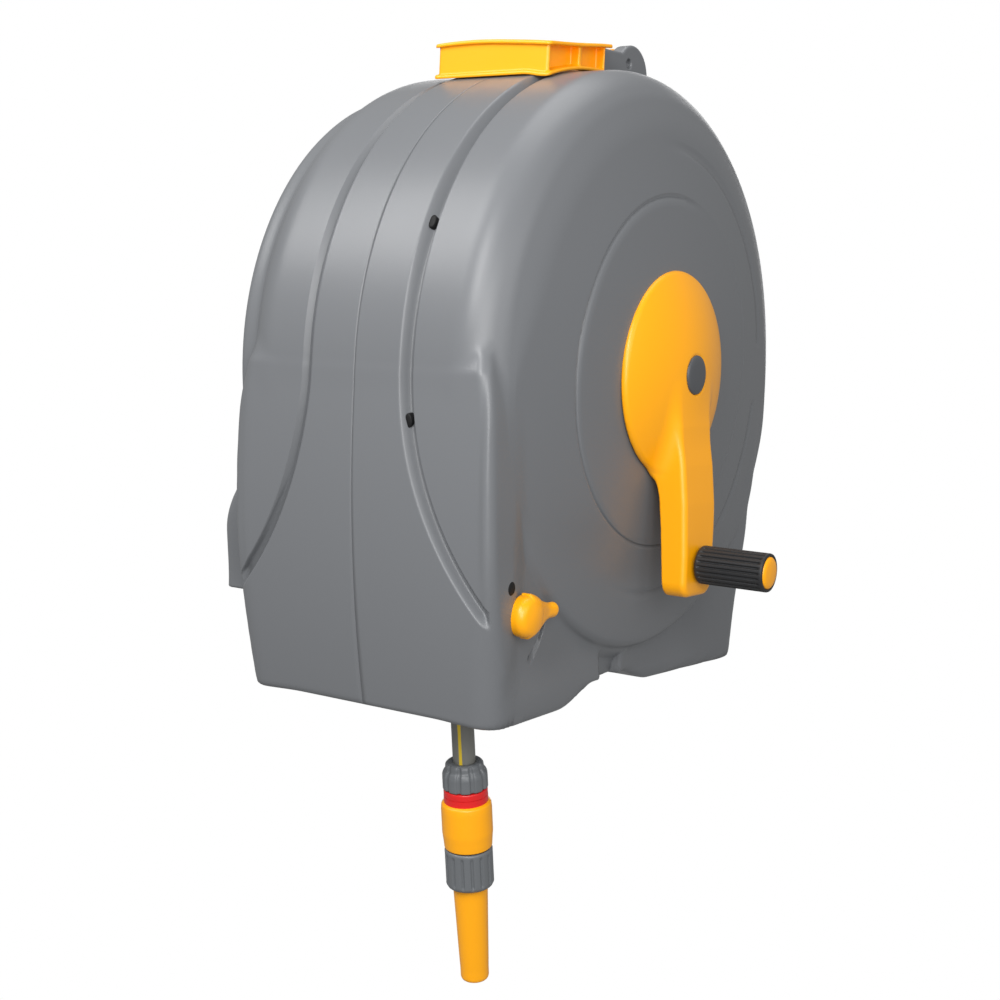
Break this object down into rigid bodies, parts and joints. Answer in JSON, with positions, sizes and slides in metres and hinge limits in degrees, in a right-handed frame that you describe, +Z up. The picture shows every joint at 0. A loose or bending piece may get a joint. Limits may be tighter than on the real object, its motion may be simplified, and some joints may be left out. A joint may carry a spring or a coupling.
{
  "type": "wall mounted hose reel",
  "caption": "Wall mounted garden hose reel: closed casing with a hand crank, gear drive, swivel bracket, folding carry handle, drum lock and a hose end fitting.",
  "frame": {"origin": "centre of the wall plate's four screw holes, on the plate's back face, at the wall", "axes": "+Y into the wall, +X toward the crank side, +Z up; the drum axis runs along X at y = -0.359 m, z = 0"},
  "size_m": [0.3903, 0.5945, 0.7501],
  "materials": {
    "shell": "moulded satin mid grey",
    "grey_plastic": "moulded dark grey",
    "yellow": "moulded satin yellow orange",
    "grip_black": "ribbed black",
    "red": "moulded satin red",
    "hose": "flexible grey PVC with a yellow stripe",
    "white_plastic": "natural acetal",
    "steel": "zinc plated",
    "black_screw": "blackened screws",
    "seal": "nitrile rubber"
  },
  "bodies": {
    "wall_side": {"wall_bracket": "shell", "swivel_pin": "steel", "pin_clip": "steel"},
    "casing": {"right_shell": "shell", "left_shell": "shell", "seam_straps": "steel", "strap_screws": "black_screw", "corner_screws": "black_screw", "hinge_yoke": "shell", "yoke_screws": "black_screw", "handle_pin": "steel", "crank_bush": "white_plastic", "gear_plate": "steel", "gear_plate_screws": "steel", "drum_bush_right": "white_plastic", "drum_bush_left": "white_plastic", "water_spindle": "grey_plastic", "spindle_seals": "seal", "spindle_screws": "steel", "inlet_pipe": "grey_plastic", "inlet_connector": "grey_plastic", "inlet_cover": "shell", "roller_pins": "steel", "free_hose": "hose", "clamp_nut": "grey_plastic", "connector_body": "red", "connector_claws": "white_plastic", "connector_seal": "seal", "connector_spring": "steel", "nozzle_stem": "grey_plastic", "nozzle_collar": "grey_plastic"},
    "drum": {"drum_core": "grey_plastic", "drum_flange_right": "grey_plastic", "drum_flange_left": "grey_plastic", "flange_screws": "steel", "drum_hub_left": "white_plastic", "drum_water_pipe": "white_plastic", "drum_wheel": "white_plastic", "hose_pack": "hose"},
    "crank": {"crank_arm": "yellow", "crank_cap": "grey_plastic", "crank_screw": "steel", "crank_shaft": "steel", "crank_gear": "white_plastic", "grip_spindle": "steel"},
    "grip": {"grip_sleeve": "grip_black", "grip_end_cap": "yellow"},
    "layshaft": {"layshaft": "steel", "lay_pinion": "white_plastic", "lay_wheel": "white_plastic"},
    "carry_handle": {"carry_handle": "yellow"},
    "lock_lever": {"lock_lever": "yellow", "lock_shaft": "steel", "lock_pawl": "white_plastic"},
    "roller_front": {"roller_front": "grey_plastic"},
    "roller_back": {"roller_back": "grey_plastic"},
    "connector_sleeve": {"connector_sleeve": "yellow"},
    "nozzle_barrel": {"nozzle_barrel": "yellow"}
  },
  "joints": [
    {"name": "casing_swivel", "type": "hinge", "parent": "wall_side", "child": "casing", "pos_m": [0, -0.112, 0], "axis": [0, 0, 1], "range_deg": [-60, 60]},
    {"name": "drum_spin", "type": "hinge", "parent": "casing", "child": "drum", "pos_m": [0, -0.359, 0], "axis": [1, 0, 0], "continuous": true},
    {"name": "crank_turn", "type": "hinge", "parent": "casing", "child": "crank", "pos_m": [0, -0.359, 0], "axis": [1, 0, 0], "continuous": true},
    {"name": "layshaft_turn", "type": "hinge", "parent": "casing", "child": "layshaft", "pos_m": [0, -0.30597, 0.05303], "axis": [1, 0, 0], "continuous": true},
    {"name": "grip_spin", "type": "hinge", "parent": "crank", "child": "grip", "pos_m": [0.193, -0.359, -0.1468], "axis": [1, 0, 0], "continuous": true},
    {"name": "handle_fold", "type": "hinge", "parent": "casing", "child": "carry_handle", "pos_m": [0, -0.297, 0.253], "axis": [-1, 0, 0], "range_deg": [0, 100]},
    {"name": "lock_turn", "type": "hinge", "parent": "casing", "child": "lock_lever", "pos_m": [0.118, -0.542, -0.173], "axis": [-1, 0, 0], "range_deg": [0, 50]},
    {"name": "roller_front_spin", "type": "hinge", "parent": "casing", "child": "roller_front", "pos_m": [0, -0.52966, -0.24], "axis": [1, 0, 0], "continuous": true},
    {"name": "roller_back_spin", "type": "hinge", "parent": "casing", "child": "roller_back", "pos_m": [0, -0.49912, -0.24], "axis": [1, 0, 0], "continuous": true},
    {"name": "sleeve_pull", "type": "slide", "parent": "casing", "child": "connector_sleeve", "axis": [0, -0.1633, 0.9866], "range_m": [0, 0.003], "stiffness_N_per_m": 600, "deforming": ["connector_spring"]},
    {"name": "nozzle_twist", "type": "hinge", "parent": "casing", "child": "nozzle_barrel", "pos_m": [0.049, -0.48751, -0.40239], "axis": [0, 0.1633, -0.9866], "range_deg": [0, 270]}
  ],
  "couplings": [
    {"joint": "crank_turn", "follows": "drum_spin", "ratio": 0.5},
    {"joint": "layshaft_turn", "follows": "drum_spin", "ratio": -1}
  ]
}
